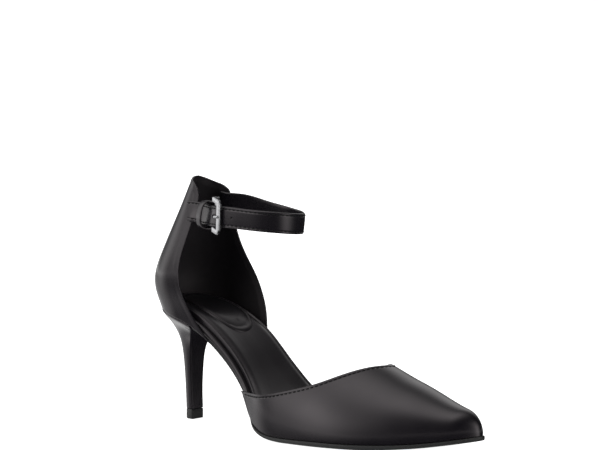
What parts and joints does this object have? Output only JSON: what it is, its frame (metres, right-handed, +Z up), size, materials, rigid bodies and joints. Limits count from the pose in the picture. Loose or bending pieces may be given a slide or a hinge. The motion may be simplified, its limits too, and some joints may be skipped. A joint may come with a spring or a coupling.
{
  "type": "dorsay pump",
  "caption": "Right-foot dorsay pump with a closed pointed toe, open sides, a slim covered heel and a buckled ankle strap.",
  "frame": {"origin": "middle of the whole shoe's box, on the floor it stands on", "axes": "+X from heel to toe, +Y to the medial side (the wearer's left), +Z up"},
  "size_m": [0.2366, 0.0793, 0.1499],
  "materials": {
    "upper_leather": "satin",
    "strap_leather": "satin",
    "heel_cover": "satin",
    "insole_wrap": "satin",
    "sock_lining": "smooth matt",
    "sole_rubber": "matt",
    "tip_rubber": "matt",
    "buckle_metal": "polished nickel"
  },
  "bodies": {
    "root": {"outsole": "sole_rubber", "heel": "heel_cover", "heel_tip": "tip_rubber", "insole": "insole_wrap", "sock": "sock_lining", "heel_pad": "sock_lining", "upper_vamp": "upper_leather", "upper_quarter": "upper_leather", "ankle_strap": "strap_leather", "strap_tab": "strap_leather", "strap_keeper": "strap_leather", "buckle_frame": "buckle_metal", "buckle_prong": "buckle_metal"}
  },
  "joints": []
}
